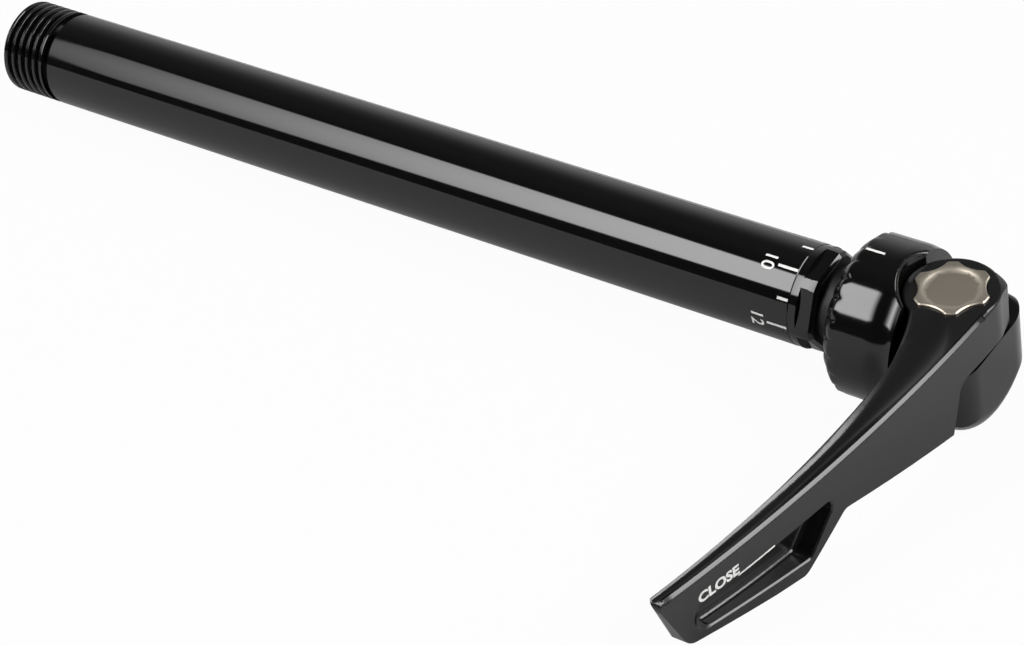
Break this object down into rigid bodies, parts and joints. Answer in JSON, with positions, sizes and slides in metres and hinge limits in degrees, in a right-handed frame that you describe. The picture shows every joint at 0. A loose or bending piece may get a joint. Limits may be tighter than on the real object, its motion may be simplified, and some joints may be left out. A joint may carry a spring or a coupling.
{
  "type": "bicycle thru axle",
  "caption": "Quick-release thru axle: a threaded tube with a cam-lever head that draws the clamp face tight against a fork leg.",
  "frame": {"origin": "centre of the head's clamp face, on the axle's axis", "axes": "+X along the axle from the threaded tip towards the lever head, +Z along the lever's pivot towards the star head, the closed lever points along -Y"},
  "size_m": [0.1798, 0.0795, 0.0234],
  "materials": {
    "gloss_tube": "polished black anodised aluminium",
    "gloss_head": "polished black anodised aluminium",
    "black_lever": "satin black anodised aluminium",
    "pin_steel": "satin stainless steel",
    "turned_steel": "turned steel",
    "bush_polymer": "dry-running polymer",
    "seal_rubber": "smooth rubber"
  },
  "bodies": {
    "axle": {"axle_tube": "gloss_tube", "index_collar": "gloss_tube", "collar_seal": "seal_rubber", "draw_rod": "turned_steel", "screw_washer": "turned_steel", "clamp_screw": "turned_steel"},
    "head": {"cam_housing": "gloss_head", "slide_bush": "bush_polymer", "upper_bush": "bush_polymer", "lower_bush": "bush_polymer"},
    "lever": {"lever": "black_lever", "cam_pin": "pin_steel", "retaining_ring": "turned_steel"}
  },
  "joints": [
    {"name": "clamp_slide", "type": "slide", "parent": "axle", "child": "head", "axis": [1, 0, 0], "range_m": [0, 0.0005]},
    {"name": "lever_hinge", "type": "hinge", "parent": "head", "child": "lever", "pos_m": [0.015, 0, 0], "axis": [0, 0, 1], "range_deg": [0, 90]}
  ],
  "couplings": [
    {"joint": "clamp_slide", "follows": "lever_hinge", "m_per_rad": 0.000318}
  ]
}
